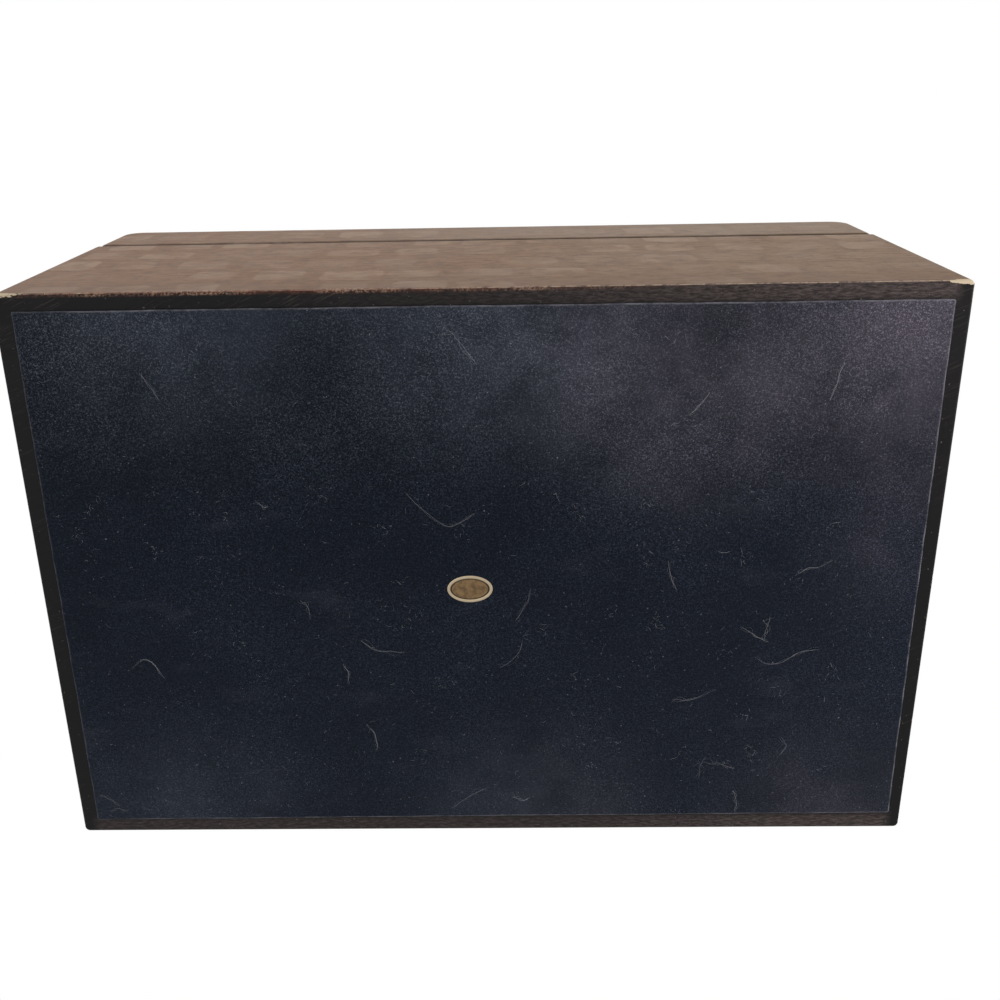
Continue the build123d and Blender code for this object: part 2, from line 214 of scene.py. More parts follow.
class Network:
    """Short calls that add nodes to one node tree."""

    def __init__(self, tree):
        self.tree = tree

    def feed(self, socket, value):
        """Links a value that comes from a node, and sets any other on the socket."""
        if isinstance(value, bpy.types.NodeSocket):
            self.tree.links.new(value, socket)
        elif isinstance(value, (tuple, list)) and len(value) == 3 and socket.type == "RGBA":
            socket.default_value = (*value, 1)
        else:
            socket.default_value = value

    def add(self, kind, output=0, settings=None, **inputs):
        """Adds a node, feeds its inputs by name, or by place as i0 and i1, and returns an output."""
        node = self.tree.nodes.new(kind)
        for key, value in (settings or {}).items():
            setattr(node, key, value)
        for key, value in inputs.items():
            found = int(key[1:]) if key[0] == "i" and key[1:].isdigit() else key.replace("_", " ")
            self.feed(node.inputs[found], value)
        return node.outputs[output]

    def math(self, operation, a, b=0.0, c=0.0, clamp=False):
        """One arithmetic node."""
        settings = {"operation": operation, "use_clamp": clamp}
        return self.add("ShaderNodeMath", 0, settings, i0=a, i1=b, i2=c)

    def product(self, first, *others):
        """All the values multiplied."""
        for other in others:
            first = self.math("MULTIPLY", first, other)
        return first

    def root_of_squares(self, a, b):
        """The root of a^2 + b^2."""
        return self.math("SQRT", self.math("ADD", self.math("MULTIPLY", a, a), self.math("MULTIPLY", b, b)))

    def vector(self, operation, a, b=(0, 0, 0), output=0):
        return self.add("ShaderNodeVectorMath", output, {"operation": operation}, i0=a, i1=b)

    def split(self, vector):
        node = self.tree.nodes.new("ShaderNodeSeparateXYZ")
        self.feed(node.inputs[0], vector)
        return node.outputs

    def join(self, x, y, z):
        return self.add("ShaderNodeCombineXYZ", 0, None, i0=x, i1=y, i2=z)

    def ramp(self, value, low, high, to_low=0.0, to_high=1.0):
        """Maps low..high smoothly to to_low..to_high."""
        settings = {"interpolation_type": "SMOOTHSTEP"}
        return self.add("ShaderNodeMapRange", 0, settings, i0=value, i1=low, i2=high, i3=to_low, i4=to_high)

    def band(self, value, middle, outer, inner):
        """One within the inner distance of the middle, nought past the outer one."""
        return self.ramp(self.math("ABSOLUTE", self.math("SUBTRACT", value, middle)), outer, inner)

    def blend(self, share, a, b):
        """Colour a where share is nought, b where it is one."""
        node = self.tree.nodes.new("ShaderNodeMix")
        node.data_type = "RGBA"
        self.feed(node.inputs[0], share)
        self.feed(node.inputs[6], a)
        self.feed(node.inputs[7], b)
        return node.outputs[2]

    def coats(self, colour, *layers):
        """Lays each layer's tone over the colour, where its share says and as strongly as it says."""
        for share, strength, tone in layers:
            colour = self.blend(self.math("MULTIPLY", share, strength), colour, tone)
        return colour


class Finish(Network):
    """One material, which reads its place in metres and the way the surface faces."""

    def __init__(self, name, **constants):
        self.material = bpy.data.materials.new(name)
        self.material.use_nodes = True
        super().__init__(self.material.node_tree)
        self.shader = self.tree.nodes["Principled BSDF"]
        for socket, value in constants.items():
            self.shader.inputs[socket.replace("_", " ")].default_value = value
        place = self.tree.nodes.new("ShaderNodeTexCoord")
        self.place = place.outputs["Object"]
        self.facing = place.outputs["Normal"]
        self.x, self.y, self.z = self.split(self.place)

    def noise(self, scale, detail=4.0, roughness=0.55, place=None, output=0):
        """Noise with the given number of features per metre."""
        where = self.place if place is None else place
        return self.add("ShaderNodeTexNoise", output, None, Vector=where, Scale=scale, Detail=detail,
                        Roughness=roughness)

    def stretched(self, scales, detail=4.0, roughness=0.7, place=None):
        """Noise with its own number of features per metre along x, y and z."""
        where = self.place if place is None else place
        return self.noise(1.0, detail, roughness, self.vector("MULTIPLY", where, scales))

    def bump(self, height, distance, normal=None):
        """Tilts the surface as if height, from nought to one, were that many millimetres."""
        inputs = {"Height": height, "Distance": distance * MM, "Strength": 1.0}
        if normal is not None:
            inputs["Normal"] = normal
        return self.add("ShaderNodeBump", 0, None, **inputs)

    def use(self, **links):
        """Links values to the shader's sockets and returns the material."""
        for socket, value in links.items():
            self.feed(self.shader.inputs[socket.replace("_", " ")], value)
        return self.material


# %% [markdown]
# ## Brown lacquer with a tone-on-tone patchwork
# On the real box the walls carry a faint print of soft rounded squares, a little paler than the
# brown between them, in rows about 23 mm apart that don't quite line up. An image could hold this
# print, but a formula keeps it sharp and lets it run round the corners: the print's two coordinates
# are picked by the way the surface faces, and each square has its own size, place and tone.

# %% The printed squares
PITCH = 23.2  # from one square to the next
CELL_HALF = 8.3
CELL_CORNER = 3.0
FIRST_ROW = -5.0  # height at which the lowest row starts
PRINT_WANDER = 5.0
ROW_SLIDE = 0.55  # how far a row may slide along, in pitches
ROW_SEED = 3.3
TOP_FACING = 0.75  # how steeply up or down a face has to look to count as a top


def printed_squares(f):
    """Rounded squares: |p - middle| less the half size, then the distance to a rounded corner."""
    nx, ny, nz = (f.math("ABSOLUTE", side) for side in f.split(f.facing))
    on_top = f.math("GREATER_THAN", nz, TOP_FACING)
    on_end = f.product(f.math("GREATER_THAN", nx, ny), f.math("SUBTRACT", 1.0, on_top))
    across = f.math("MULTIPLY_ADD", f.math("SUBTRACT", f.y, f.x), on_end, f.x)
    up = f.math("MULTIPLY_ADD", f.math("SUBTRACT", f.y, f.z), on_top, f.z)
    wobble = f.split(f.noise(38.0, 1.0, output=1))
    across = f.math("MULTIPLY_ADD", wobble[0], PRINT_WANDER * MM, across)
    up = f.math("MULTIPLY_ADD", wobble[1], PRINT_WANDER * MM, up)
    lifted = f.math("DIVIDE", f.math("SUBTRACT", up, FIRST_ROW * MM), PITCH * MM)
    row = f.math("FLOOR", lifted)
    drawn = f.math("ADD", row, ROW_SEED)
    slide = f.add("ShaderNodeTexWhiteNoise", 0, {"noise_dimensions": "1D"}, W=drawn)
    slid = f.math("ADD", f.math("DIVIDE", across, PITCH * MM), f.math("MULTIPLY", slide, ROW_SLIDE))
    face = f.math("MULTIPLY_ADD", on_end, 7.0, f.math("MULTIPLY", on_top, 31.0))
    cell = f.join(f.math("FLOOR", slid), row, face)
    own = f.add("ShaderNodeTexWhiteNoise", 1, {"noise_dimensions": "3D"}, Vector=cell)
    own_x, own_y, own_tone = f.split(own)
    outside = []
    # Along and up: where in its cell, the draw and reach of its place, the draw, spread and least size.
    for place, own_place, nudge, own_size, growth, least in (
            (slid, own_y, 3.4, own_x, 3.2, -1.4), (lifted, own_x, 3.0, own_y, 2.8, -1.6)):
        inside = f.math("MULTIPLY", f.math("SUBTRACT", f.math("FRACT", place), 0.5), PITCH)
        nudged = f.math("ADD", inside, f.math("MULTIPLY_ADD", own_place, nudge, -nudge / 2))
        half = f.math("MULTIPLY_ADD", own_size, growth, CELL_HALF + least - CELL_CORNER)
        outside.append(f.math("MAXIMUM", f.math("SUBTRACT", f.math("ABSOLUTE", nudged), half), 0.0))
    square = f.ramp(f.root_of_squares(*outside), CELL_CORNER + 0.7, CELL_CORNER - 1.1)
    worn = f.ramp(f.noise(70.0, 4.0, 0.65), 0.34, 0.62, 0.1, 1.0)
    return f.product(square, worn, f.math("MULTIPLY_ADD", own_tone, 0.9, 0.1))


# %% [markdown]
# ## The brown between and under the squares
# Old lacquer isn't one colour. It is redder at one end of the wall and duller at the other, has
# streaks, mottle and grit, and darkens towards the ground. Over it lie painted sheen, a grey veil on
# the lid's lower edge, and painted shade in the seam under the lid.
# Each is a thin coat with a share, a strength and a tone of its own, laid over the one before.

# %% Brown coats
SEAM_AT = 102.9  # height of the painted shade in the seam, on the lid's rounded lower edge


def brown_coats(f, squares, streak):
    """Each coat's share is a smooth step of a noise, of a height or of a distance."""
    duller = f.ramp(f.math("MULTIPLY_ADD", f.noise(14.0, 5.0, 0.6), 0.16, f.x), 0.24, -0.06)
    mottle = f.stretched((310.0, 310.0, 170.0))
    grit = f.stretched((190.0, 190.0, 430.0), 4.0, 0.75)
    # Painted sheen: a grey veil on the lid's lower edge, stronger towards -x.
    lid_edge_sheen = f.product(f.ramp(f.z, 98 * MM, 106 * MM), f.ramp(f.x, 130 * MM, -40 * MM, 0.1, 1.0))
    upright = f.ramp(f.math("ABSOLUTE", f.split(f.facing)[2]), 0.85, 0.6)
    # Painted shade: a dark band in the seam between lid and case, on faces that stand upright.
    seam_shade = f.product(f.band(f.z, SEAM_AT * MM, 1.7 * MM, 0.8 * MM), upright)
    return f.coats(
        f.blend(duller, (0.174, 0.074, 0.021), (0.210, 0.125, 0.061)),
        (f.ramp(mottle, 0.48, 0.70), 0.46, (0.095, 0.040, 0.026)),
        (f.ramp(streak, 0.35, 0.70), 0.45, (0.256, 0.137, 0.066)),
        (f.ramp(grit, 0.46, 0.66), 0.62, (0.088, 0.038, 0.025)),
        (f.ramp(grit, 0.46, 0.30), 0.30, (0.330, 0.200, 0.115)),
        (squares, 0.54, (0.345, 0.215, 0.116)),
        (lid_edge_sheen, 0.10, (0.60, 0.56, 0.50)),
        (f.ramp(f.noise(700.0, 3.0, 0.75), 0.6, 0.7), 0.42, (0.075, 0.038, 0.027)),
        (f.ramp(f.z, 34 * MM, 4 * MM), 0.40, (0.130, 0.062, 0.028)),
        (seam_shade, 0.90, (0.028, 0.018, 0.014)))


# %% [markdown]
# ## Black paint and the worn edge
# The lacquer stops at the lower edge of the walls, where it meets black paint along a ragged line.
# The paint is scratched and carries a painted grey reflection on some sides. The edge itself has a
# painted highlight, a tan line, and specks, and is chipped pale at the corners. Wear and highlight
# follow the edge, so their shares are bands of height and distances from the walls' faces, broken up by
# noise.

# %% Black paint
WALL_FACE_Y = span("back_wall")[1][1]


def black_paint(f):
    """Slanting scratches, a painted reflection, a reddened edge and dust on black, and the scratches alone.
    """
    turned = f.add("ShaderNodeMapping", 0, None, Vector=f.place, Rotation=(0, 0, 0.42))
    hatch = f.product(f.ramp(f.stretched((110.0, 2300.0, 300.0), 4.0, 0.65, turned), 0.54, 0.74),
                      f.ramp(f.noise(22.0, 2.0), 0.42, 0.62), f.ramp(f.y, 60 * MM, 95 * MM, 0.25, 1.0))
    # Painted reflection: grey on the black, stronger towards -x and towards the front, broken up by a
    # streaky noise.
    reflection_at_end = f.ramp(f.x, 90 * MM, -130 * MM)
    reflection_at_front = f.ramp(f.y, -80 * MM, -97 * MM, 0.0, 0.6)
    reflection_streaks = f.stretched((330.0, 1500.0, 900.0), 6.0, 0.75)
    painted_reflection = f.product(f.math("MAXIMUM", reflection_at_end, reflection_at_front), f.ramp(reflection_streaks, 0.38, 0.66, 0.2, 1.1),
                     f.ramp(f.math("ABSOLUTE", f.y), 93 * MM, 98 * MM),
                     f.ramp(f.math("ABSOLUTE", f.x), 150 * MM, 146 * MM))
    from_edge = f.math("SUBTRACT", (WALL_FACE_Y - 0.4) * MM, f.y)
    reddened = f.product(f.ramp(from_edge, 1.3 * MM, 0.1 * MM), f.ramp(f.x, -90 * MM, 20 * MM),
                         f.ramp(f.x, 140 * MM, 60 * MM, 0.35, 1.0),
                         f.ramp(f.noise(160.0, 5.0, 0.75), 0.30, 0.62))
    dust = f.ramp(f.noise(1300.0, 1.0), 0.74, 0.80)
    paint = f.coats(
        (0.0050, 0.0045, 0.0052),
        (hatch, 1.0, (0.105, 0.085, 0.075)),
        (painted_reflection, 1.0, (0.096, 0.075, 0.070)),
        (reddened, 1.0, (0.062, 0.021, 0.014)),
        (dust, 0.45, (0.35, 0.32, 0.28)))
    return paint, hatch


# %% Edge wear and a painted highlight
ARRIS = 1.34  # height of the walls' lower edge


def edge_wear_and_highlight(f, colour):
    """A painted highlight along the edge, specks and chips laid over a colour, and the chips alone."""
    arris = f.band(f.z, ARRIS * MM, 0.27 * MM, 0.13 * MM)
    broken = f.ramp(f.noise(260.0, 5.0, 0.8), 0.38, 0.56, 0.25, 1.0)
    # Painted highlight: a tan line along the lower edge, broken up by noise, paler towards -x.
    edge_highlight = f.product(arris, broken, f.ramp(f.y, 90 * MM, 100 * MM))
    tan = f.blend(f.ramp(f.x, -30 * MM, 70 * MM), (0.52, 0.38, 0.28), (0.34, 0.17, 0.115))
    specks = f.product(f.band(f.z, 1.5 * MM, 1.1 * MM, 0.5 * MM),
                       f.ramp(f.noise(1100.0, 4.0, 0.8), 0.47, 0.57),
                       f.ramp(f.noise(40.0, 3.0), 0.40, 0.62, 0.10, 0.85),
                       f.ramp(f.y, 99.9 * MM, 100.9 * MM), f.ramp(f.x, -60 * MM, -10 * MM))
    corner = f.product(f.ramp(f.math("ABSOLUTE", f.x), 137.0 * MM, 150.0 * MM),
                       f.ramp(f.y, 99.4 * MM, 101.3 * MM), f.ramp(f.z, 3.4 * MM, 1.3 * MM))
    flakes = f.stretched((150.0, 300.0, 560.0))
    helped = f.math("MULTIPLY_ADD", corner, f.ramp(f.x, 0.0, 140 * MM, 0.28, 0.36), flakes)
    corner_chip = f.product(f.ramp(helped, 0.665, 0.69), f.ramp(corner, 0.02, 0.2))
    edge_chip = f.product(arris, f.ramp(flakes, 0.64, 0.66))
    chip = f.math("MAXIMUM", corner_chip, edge_chip)
    # worn here holds the painted highlight as well as the specks and chips.
    worn = f.coats(colour, (edge_highlight, 0.85, tan), (specks, 1.0, (0.42, 0.27, 0.19)),
                   (chip, 1.0, (0.70, 0.58, 0.41)))
    return worn, chip


# %% The lacquer
INK_LINE = 1.72  # height of the brown and black boundary above the ground


def lacquer():
    """Brown above a ragged line, black below it, and wear over both."""
    f = Finish("lacquer", Specular_IOR_Level=0.12)
    squares = printed_squares(f)
    streak = f.stretched((90.0, 90.0, 420.0), 5.0)
    line = f.math("MULTIPLY_ADD", f.noise(210.0, 6.0, 0.75), 0.5 * MM, (INK_LINE - 0.25) * MM)
    is_black = f.ramp(f.math("SUBTRACT", f.z, line), 0.08 * MM, -0.08 * MM)
    paint, hatch = black_paint(f)
    colour, chip = edge_wear_and_highlight(f, f.blend(is_black, brown_coats(f, squares, streak), paint))
    rough = f.math("MULTIPLY_ADD", f.noise(30.0, 4.0), 0.16, 0.42)
    rough = f.math("MULTIPLY_ADD", squares, -0.06, rough)
    rough = f.math("MULTIPLY_ADD", hatch, f.math("MULTIPLY", is_black, 0.2), rough)
    rough = f.math("MAXIMUM", rough, f.math("MULTIPLY", chip, 0.9))
    grain = f.bump(streak, 0.035)
    raised = f.bump(squares, 0.05, grain)
    pitted = f.bump(f.math("SUBTRACT", 1.0, chip), 0.25, raised)
    return f.use(Base_Color=colour, Roughness=rough, Normal=pitted)


lacquered = lacquer()
LACQUERED = ["back_wall", "left_wall", "right_wall", "front_panel", "front_rail", "bay_partition",
             "lid_top_panel", "lid_front_rail", "lid_back_rail", "lid_left_rail", "lid_right_rail",
             "drawer_left_front", "drawer_right_front"]


def dress(names, material):
    """Puts one material on nodes that keep their own shape."""
    for name in names:
        slots = frame["nodes"][name].data.materials
        slots.clear()
        slots.append(material)
    print(len(names), "nodes finished in", material.name)


dress(LACQUERED, lacquered)

# %% [markdown]
# ## Bare wood inside
# The drawer boxes, runners and hidden boards are plain pale wood. Its grain is a wave of growth
# rings stretched along the board, bent by noise, with short dark pores. A wood texture from a
# picture would tile, and this never does.

# %% Pale wood
SIDES = ("left", "right")


def pale_wood():
    """Rings: the sine of the distance across the board, pushed about by noise along it."""
    f = Finish("pale_wood", Specular_IOR_Level=0.3)
    bend = f.stretched((9.0, 9.0, 70.0), 3.0, 0.5)
    level = f.math("MULTIPLY", f.math("ADD", f.x, f.y), 60.0)
    across = f.math("ADD", f.math("MULTIPLY", f.z, 700.0), level)
    ring = f.math("SINE", f.math("MULTIPLY_ADD", bend, 26.0, across))
    pores = f.stretched((160.0, 160.0, 1900.0))
    colour = f.coats(
        f.blend(f.ramp(ring, -1.0, 1.0), (0.56, 0.40, 0.24), (0.66, 0.50, 0.32)),
        (f.ramp(pores, 0.6, 0.75), 0.4, (0.34, 0.21, 0.12)))
    rough = f.math("MULTIPLY_ADD", pores, 0.2, 0.55)
    return f.use(Base_Color=colour, Roughness=rough, Normal=f.bump(pores, 0.06))


WOODEN = ["base_panel", "shelf_panel", "drawer_runners", "drawer_stops"]
WOODEN += [f"drawer_{side}_{part}" for side in SIDES for part in ("sides", "back", "bottom")]
dress(WOODEN, pale_wood())

# %% [markdown]
# ## Aged brass
# Pulls and the mirror's bezel are thin pressed brass. Age shows as a browner film and as fine
# scratches, so colour and roughness share one noise. The hinges get the same finish nearly black:
# no bright metal shows in the seam of the real box.

# %% Brass


def brass(name, bright, dull, polish):
    """Film and scratches: two noises, the second one stretched along the scratches."""
    f = Finish(name, Metallic=1.0)
    film = f.ramp(f.noise(260.0, 5.0, 0.65), 0.36, 0.72)
    scratch = f.stretched((3500.0, 260.0, 900.0), 3.0, 0.6)
    rough = f.math("MULTIPLY_ADD", film, 0.22, f.math("MULTIPLY_ADD", scratch, 0.16, polish))
    return f.use(Base_Color=f.blend(film, bright, dull), Roughness=rough, Normal=f.bump(scratch, 0.012))


aged_brass = brass("aged_brass", (0.60, 0.43, 0.195), (0.34, 0.23, 0.11), 0.22)
dress([f"pull_{side}_{part}" for side in SIDES for part in ("eye", "ring")], aged_brass)
dark_bronze = brass("dark_bronze", (0.060, 0.040, 0.026), (0.022, 0.015, 0.011), 0.4)
dress([f"hinge_{side}_{part}" for side in SIDES for part in ("lower", "upper", "pin")]
      + ["hinge_screws_lower", "hinge_screws_upper"], dark_bronze)

# %% [markdown]
# ## The felt under the box
# The felt is one sheet, cut by hand and glued on: its outline isn't quite square to the box, and
# its cut edge is a soft step with a paler, fuzzy line. A flat face with a picture would lose that
# step. Here the outline is bent towards four measured corners and wanders a little, and rows of
# rings carry it from the glued side round the cut edge to the face.

# %% Navy felt
SHEEN_SPOTS = [  # middle in x and y, reach and strength of places where painted sheen makes the felt pale, in mm
    (-140, 88, 70, 0.94), (-66, 72, 66, 0.56), (-10, 104, 78, 0.94), (95, 108, 72, 0.74),
    (-135, 15, 40, 0.16), (-125, -96, 56, 0.24), (-15, -100, 62, 0.46), (110, -104, 66, 0.42),
]


def painted_sheen(f, base, tip):
    """Painted sheen: both colours drawn towards paler, greyer ones by a sum of smooth hills at its places.
    """
    pale = 0.0
    for middle_x, middle_y, reach, strength in SHEEN_SPOTS:
        away = f.vector("DISTANCE", f.place, (middle_x * MM, middle_y * MM, 0), output=1)
        pale = f.math("ADD", pale, f.ramp(away, reach * MM, 0.0, 0.0, strength))
    uneven = f.ramp(f.noise(48.0, 5.0, 0.6), 0.3, 0.7, 0.5, 1.4)
    pale = f.math("MULTIPLY", pale, uneven, clamp=True)
    # Painted sheen: the tips grow paler towards +y.
    tip = f.blend(f.ramp(f.y, 10 * MM, 92 * MM), tip, (0.150, 0.168, 0.202))
    # The painted sheen turns greyer and pinker towards -x.
    greyer = f.ramp(f.x, 30 * MM, -110 * MM)
    sheen_base = f.blend(greyer, (0.035, 0.043, 0.061), (0.058, 0.052, 0.067))
    sheen_tip = f.blend(greyer, (0.225, 0.252, 0.305), (0.322, 0.300, 0.366))
    return f.blend(pale, base, sheen_base), f.blend(pale, tip, sheen_tip)


def felt(name, base, tip, worn, grain, sheen):
    """Nap: bright tips where a fine noise peaks, over soft blotches and paler worn wisps, with painted
    sheen where worn is one.
    """
    f = Finish(name, Sheen_Weight=sheen, Sheen_Roughness=0.4, Sheen_Tint=(0.66, 0.75, 0.95, 1),
               Specular_IOR_Level=0.1)
    fine = f.noise(grain, 4.0, 0.8)
    coarse = f.noise(grain * 0.4, 3.0, 0.7)
    soft = f.ramp(f.noise(17.0, 5.0, 0.6), 0.3, 0.7, 0.35, 1.0)
    tips = f.math("MULTIPLY_ADD", f.math("SUBTRACT", coarse, 0.5), 0.5, fine)
    tips = f.product(f.ramp(tips, 0.485, 0.70), soft)
    # worn turns on the painted sheen as well as the wisps and specks.
    if worn:
        base, tip = painted_sheen(f, base, tip)
    drawn = f.stretched((26.0, 60.0, 26.0), 4.0, 0.6)
    wisp = f.product(f.ramp(drawn, 0.56, 0.74), f.ramp(fine, 0.35, 0.65))
    speck = f.ramp(f.noise(1150.0, 1.0, 0.5), 0.755, 0.79)
    cut = f.product(f.add("ShaderNodeAttribute", 2, {"attribute_name": "cut_edge"}),
                    f.ramp(f.noise(110.0, 5.0, 0.75), 0.40, 0.62, 0.2, 1.0),
                    f.ramp(f.x, 110 * MM, 140 * MM, 1.0, 0.4))
    colour = f.coats(
        f.blend(tips, base, tip),
        (wisp, 0.26 * worn, (0.085, 0.088, 0.115)),
        (speck, 0.55 * worn, (0.34, 0.35, 0.38)),
        (cut, 1.0, (0.230, 0.225, 0.250)))
    rough = f.math("MULTIPLY_ADD", fine, 0.15, 0.82)
    fibre = f.stretched((900.0, 2600.0, 2600.0), 3.0)
    return f.use(Base_Color=colour, Roughness=rough, Normal=f.bump(f.math("ADD", fine, fibre), 0.16))


felt_navy = felt("navy_felt", (0.0016, 0.0034, 0.0082), (0.050, 0.068, 0.106), 1.0, 3600.0, 0.4)

# %% The sheet of felt
# How far each corner of the felt has moved, by the corner's signs in x and y.
FELT_CORNERS = {(1, 1): (0.3, 0.9), (-1, 1): (-0.8, 0.6), (-1, -1): (-1.8, 0.8), (1, -1): (0.5, -0.5)}
FELT_FACE = 0.14  # height of the nap's face above the ground
EDGE_TONES = (0, 0, 0.2, 0.6, 1, 0.3, 0)  # how pale each row from the glued side inwards is
FACE_ROW = 5  # the first row that lies on the face
EDGE_START = 0.3  # the outline starts this far inside the solid's
EDGE_WAVES, EDGE_WANDER = (5, 19, 43, 88), 0.16
LABEL_AT, LABEL_HALF = footprint(*span("base_label"))
DENT = ((90, 45), 0.12)  # square of the reach in x and y, and depth, of the dent round the label


def wander(count, waves, size):
    """A closed wavy line: a sum of a few sines with seeded phases."""
    turn = np.linspace(0, 2 * math.pi, count, endpoint=False)
    total = np.zeros(count)
    for wave in waves:
        total += np.sin(wave * turn + rng.uniform(0, 2 * math.pi)) / len(waves)
    return size * total


def felt_sheet():
    """Rings shrink from the cut edge to the middle; the corners' shifts fade in bilinearly."""
    low, high = span("base_felt")
    half_x, half_y = high[0], high[1]
    points, normals = rounded_path(half_x - EDGE_START, half_y - EDGE_START, 0.5, 6, 60)
    points = points + normals * wander(len(points), EDGE_WAVES, EDGE_WANDER)[:, None]
    inner = [(0.0, FELT_FACE, s) for s in np.linspace(0.99, 0.0, 40)]
    rows = [(-0.2, high[2], 0.0), (-0.2, high[2], 1.0), (0.05, 0.75, 1.0), (0.1, 0.45, 1.0),
            (-0.05, 0.22, 1.0), (-0.35, FELT_FACE, 1.0), (-0.35, FELT_FACE, 0.998),
            (-0.35, FELT_FACE, 0.995)]
    grid = rings((points, normals), rows + inner)
    u, v = grid[..., 0] / half_x, grid[..., 1] / half_y
    for (sx, sy), (dx, dy) in FELT_CORNERS.items():
        weight = (1 + sx * u) * (1 + sy * v) / 4
        grid[..., 0] += weight * dx
        grid[..., 1] += weight * dy
    reach, depth = DENT
    dent = depth * np.exp(-((grid[..., :2] - LABEL_AT) ** 2 / reach).sum(-1))
    lumps = np.sin(grid[..., 0] * 0.11 + 1) * np.sin(grid[..., 1] * 0.13) * 0.05
    on_face = np.arange(len(grid))[:, None] >= FACE_ROW
    grid[..., 2] += on_face * (lumps + dent)
    return grid


felt_grid = felt_sheet()
felt_tones = np.zeros(felt_grid.shape[:2])
felt_tones[:len(EDGE_TONES)] = np.array(EDGE_TONES)[:, None]
base_felt = make_piece("felt_under_case", [felt_grid], "case", felt_navy, ["base_felt"],
                       tones=felt_tones)

# %% [markdown]
# ## The oval foil label
# A small pressed foil sits in the felt: a rolled rim with a painted highlight, a groove inside it
# with painted shade and a flat face, left bare. It is an oval path with a radial profile, so the rim
# keeps its width all round, which scaling an oval wouldn't do.

# %% Foil label
FOIL_FACE = (6.55, 3.85)  # half sizes of the flat face inside the rim


def foil():
    """Painted highlight on the rim and painted shade in the groove, by the distance out from the middle,
    with each axis over its half size.
    """
    f = Finish("gold_foil", Metallic=0.75, Specular_IOR_Level=0.5)
    shares = [f.math("DIVIDE", f.math("SUBTRACT", place, float(middle) * MM), half * MM)
              for place, middle, half in zip((f.x, f.y), LABEL_AT, FOIL_FACE)]
    out = f.root_of_squares(*shares)
    stain = f.ramp(f.noise(420.0, 4.0, 0.6), 0.35, 0.7)
    colour = f.coats(
        f.blend(stain, (0.20, 0.125, 0.058), (0.10, 0.062, 0.030)),
        # Painted highlight on the rolled rim.
        (f.ramp(out, 1.0, 1.07), 1.0, (0.42, 0.34, 0.23)),
        # Painted shade in the groove inside the rim.
        (f.band(out, 0.985, 0.065, 0.02), 1.0, (0.025, 0.017, 0.012)))
    rough = f.math("MULTIPLY_ADD", stain, 0.2, 0.34)
    return f.use(Base_Color=colour, Roughness=rough, Normal=f.bump(f.noise(2500.0, 2.0), 0.02))


def label_grid():
    """Rows from the back's middle round the rolled rim to the face's middle."""
    rows = [(0, 0.25, 0.0), (0, 0.25, 1.0), (0, 0.12, 1.0), (-0.12, 0.04, 1.0), (-0.4, 0.01, 1.0),
            (-0.75, 0.05, 1.0), (-0.95, 0.13, 1.0), (-1.2, 0.14, 1.0), (-1.35, 0.10, 1.0),
            (-1.6, 0.09, 1.0), (-1.6, 0.085, 0.6), (-1.6, 0.08, 0.0)]
    grid = rings(oval_path(*LABEL_HALF), rows)
    grid[..., :2] += LABEL_AT
    return grid


make_piece("foil_label", [label_grid()], "case", foil(), ["base_label"])

# %% [markdown]
# ## Lint on the felt
# Felt gathers hairs and specks. Each hair is a thin three-sided tube along a smooth curve through a
# few points. The longer ones lie where the real ones lie, each as one strand with two thinner,
# wavier ones beside it. Some fifteen hundred tiny ones are strewn by a seeded draw, half of them in
# small tangles. All are one mesh, because they share one finish and never move apart.

# %% Hairs and specks
HAIRS = [  # points along each of the longer hairs, in x and y
    [(9.4, 88.4), (5.5, 83.6), (0.9, 76.8)], [(108.6, 76.0), (106.2, 72.3), (103.0, 66.7)],
    [(-73.1, 67.3), (-70.1, 63.0), (-66.8, 59.4)], [(-62.3, 8.8), (-63.6, 2.5), (-65.8, -2.8)],
    [(-16.1, -1.1), (-14.7, -6.4), (-10.5, -13.7)], [(-88.2, -16.4), (-93.9, -20.4), (-98.6, -22.7)],
    [(-94.2, -28.6), (-97.8, -31.0), (-103.7, -30.7), (-109.6, -26.8), (-116.1, -25.7)],
    [(-65.7, -45.7), (-73.5, -45.3), (-81.4, -41.3)], [(-78.8, -72.2), (-83.9, -72.7), (-90.2, -74.5)],
    [(125.5, -31.4), (120.4, -27.4), (117.1, -29.8), (113.9, -35.5)],
    [(50.2, -30.0), (48.6, -33.3), (48.6, -38.1)], [(43.4, -54.3), (40.4, -59.4), (40.0, -65.7)],
    [(144.3, -84.6), (140.1, -86.9), (137.4, -89.6)], [(141.6, -92.2), (138.2, -90.5), (134.8, -92.3)],
    [(25.2, 34.4), (21.1, 29.1), (13.0, 22.5), (8.0, 23.0), (2.5, 26.7)],
    [(-117.7, 8.2), (-112.9, 5.7), (-108.9, 5.0), (-106.4, 3.2)],
    [(0.3, -82.5), (7.4, -86.4), (13.4, -91.3)], [(-105.8, -61.4), (-107.9, -64.8), (-105.7, -69.0)],
    [(-90.1, -84.0), (-91.5, -88.4), (-91.4, -93.8)],
    [(-13.2, -21.1), (-11.8, -25.8), (-7.9, -30.2), (-5.1, -32.2)],
    [(43.6, -20.6), (37.9, -24.6), (32.7, -25.4), (28.1, -25.5)],
    [(63.4, -4.8), (60.9, -7.9), (60.5, -12.6)], [(-9.3, -85.7), (-12.2, -87.9), (-15.5, -87.0)],
    [(-114.8, 77.1), (-113.2, 70.6), (-111.3, 64.1)], [(75.5, 32.2), (73.1, 29.7), (71.4, 30.0)],
    [(-79.5, -69.5), (-77.6, -73.0), (-77.2, -79.0)], [(-98.3, -12.3), (-97.6, -16.5), (-96.6, -22.0)],
]
HAIR_POINTS = 36
HAIR_SUNK = 0.07  # how deep a hair's middle lies in the nap
